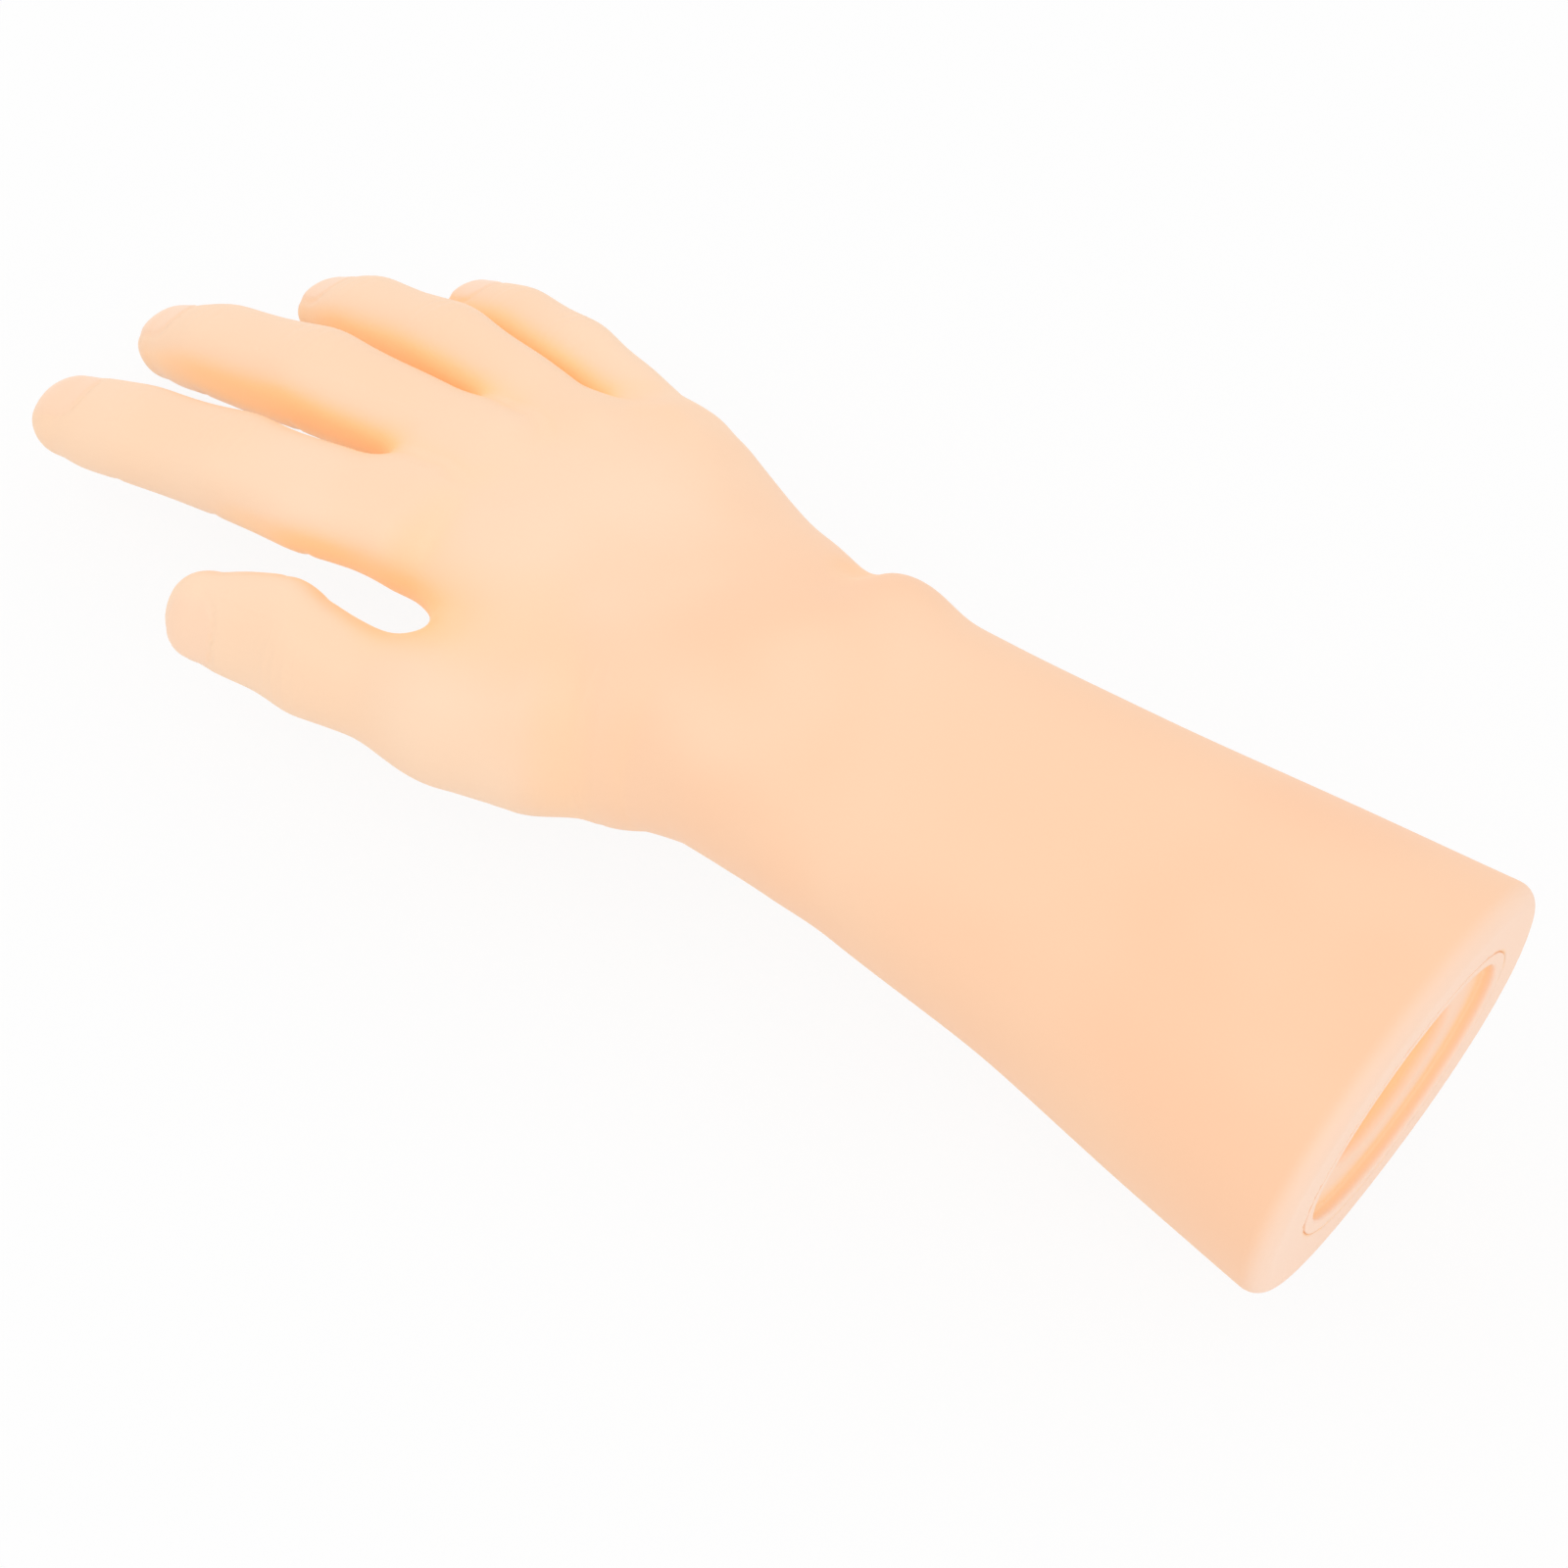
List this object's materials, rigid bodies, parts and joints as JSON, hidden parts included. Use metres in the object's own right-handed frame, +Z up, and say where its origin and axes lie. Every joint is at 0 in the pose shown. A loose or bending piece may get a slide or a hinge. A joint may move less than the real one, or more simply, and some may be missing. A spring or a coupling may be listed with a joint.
{
  "type": "prosthetic hand",
  "caption": "Right cosmetic prosthetic hand with forearm: soft skin-coloured glove over foam, metal armature with posable hinged fingers, hollow arm end with tube bore.",
  "frame": {"origin": "centre of the arm tube's mouth, on the bore that takes the arm's spigot", "axes": "+Y from the arm end towards the fingertips, +Z up out of the back of the hand, +X to the little finger side"},
  "size_m": [0.125, 0.3287, 0.086],
  "materials": {
    "vinyl_skin": "soft matt skin-coloured vinyl",
    "foam": "open-cell foam",
    "aluminium": "satin",
    "steel": "satin"
  },
  "bodies": {
    "palm_and_arm": {"hand_glove": "vinyl_skin", "end_cap": "vinyl_skin", "arm_foam": "foam", "palm_foam": "foam", "arm_tube": "aluminium", "tube_clamp": "aluminium", "clamp_screw": "steel", "wrist_adaptor": "aluminium", "wrist_stud": "steel", "wrist_washer": "steel", "wrist_nut": "steel", "chassis_plate": "aluminium", "chassis_screws": "steel", "index_knuckle_block": "aluminium", "index_knuckle_pin": "steel", "index_root_fold": "vinyl_skin", "middle_knuckle_block": "aluminium", "middle_knuckle_pin": "steel", "middle_root_fold": "vinyl_skin", "ring_knuckle_block": "aluminium", "ring_knuckle_pin": "steel", "ring_root_fold": "vinyl_skin", "little_knuckle_block": "aluminium", "little_knuckle_pin": "steel", "little_root_fold": "vinyl_skin", "thumb_knuckle_block": "aluminium", "thumb_knuckle_pin": "steel", "thumb_root_fold": "vinyl_skin"},
    "index_first": {"index_link": "aluminium", "index_middle_pin": "steel", "index_sleeve": "vinyl_skin", "index_middle_fold": "vinyl_skin"},
    "index_last": {"index_tip_link": "aluminium", "index_fingertip": "vinyl_skin"},
    "middle_first": {"middle_link": "aluminium", "middle_middle_pin": "steel", "middle_sleeve": "vinyl_skin", "middle_middle_fold": "vinyl_skin"},
    "middle_last": {"middle_tip_link": "aluminium", "middle_fingertip": "vinyl_skin"},
    "ring_first": {"ring_link": "aluminium", "ring_middle_pin": "steel", "ring_sleeve": "vinyl_skin", "ring_middle_fold": "vinyl_skin"},
    "ring_last": {"ring_tip_link": "aluminium", "ring_fingertip": "vinyl_skin"},
    "little_first": {"little_link": "aluminium", "little_middle_pin": "steel", "little_sleeve": "vinyl_skin", "little_middle_fold": "vinyl_skin"},
    "little_last": {"little_tip_link": "aluminium", "little_fingertip": "vinyl_skin"},
    "thumb_first": {"thumb_link": "aluminium", "thumb_middle_pin": "steel", "thumb_sleeve": "vinyl_skin", "thumb_middle_fold": "vinyl_skin"},
    "thumb_last": {"thumb_tip_link": "aluminium", "thumb_fingertip": "vinyl_skin"}
  },
  "joints": [
    {"name": "index_root_hinge", "type": "hinge", "parent": "palm_and_arm", "child": "index_first", "pos_m": [-0.00154, 0.23441, -0.00962], "axis": [-0.9779, -0.0348, 0.2061], "range_deg": [-10, 35], "deforming": ["index_root_fold"]},
    {"name": "index_middle_hinge", "type": "hinge", "parent": "index_first", "child": "index_last", "pos_m": [-0.00334, 0.25471, -0.01472], "axis": [-0.9779, -0.0348, 0.2061], "range_deg": [-10, 40], "deforming": ["index_middle_fold"]},
    {"name": "middle_root_hinge", "type": "hinge", "parent": "palm_and_arm", "child": "middle_first", "pos_m": [0.02311, 0.23015, -0.0107], "axis": [-0.9768, 0.1116, 0.1828], "range_deg": [-10, 35], "deforming": ["middle_root_fold"]},
    {"name": "middle_middle_hinge", "type": "hinge", "parent": "middle_first", "child": "middle_last", "pos_m": [0.02492, 0.25544, -0.01647], "axis": [-0.9768, 0.1116, 0.1828], "range_deg": [-15, 34], "deforming": ["middle_middle_fold"]},
    {"name": "ring_root_hinge", "type": "hinge", "parent": "palm_and_arm", "child": "ring_first", "pos_m": [0.0424, 0.21762, -0.0135], "axis": [-0.9522, 0.2638, 0.1537], "range_deg": [-10, 35], "deforming": ["ring_root_fold"]},
    {"name": "ring_middle_hinge", "type": "hinge", "parent": "ring_first", "child": "ring_last", "pos_m": [0.04762, 0.23905, -0.01795], "axis": [-0.9522, 0.2638, 0.1537], "range_deg": [-20, 30], "deforming": ["ring_middle_fold"]},
    {"name": "little_root_hinge", "type": "hinge", "parent": "palm_and_arm", "child": "little_first", "pos_m": [0.05618, 0.20097, -0.01697], "axis": [-0.9363, 0.3215, 0.1413], "range_deg": [-10, 35], "deforming": ["little_root_fold"]},
    {"name": "little_middle_hinge", "type": "hinge", "parent": "little_first", "child": "little_last", "pos_m": [0.06107, 0.21608, -0.01892], "axis": [-0.9363, 0.3215, 0.1413], "range_deg": [-20, 30], "deforming": ["little_middle_fold"]},
    {"name": "thumb_root_hinge", "type": "hinge", "parent": "palm_and_arm", "child": "thumb_first", "pos_m": [-0.03337, 0.17949, -0.00536], "axis": [-0.7127, -0.2356, -0.6607], "range_deg": [-12, 25], "deforming": ["thumb_root_fold"]},
    {"name": "thumb_middle_hinge", "type": "hinge", "parent": "thumb_first", "child": "thumb_last", "pos_m": [-0.03801, 0.212, -0.01196], "axis": [-0.7127, -0.2356, -0.6607], "range_deg": [-8, 40], "deforming": ["thumb_middle_fold"]}
  ]
}
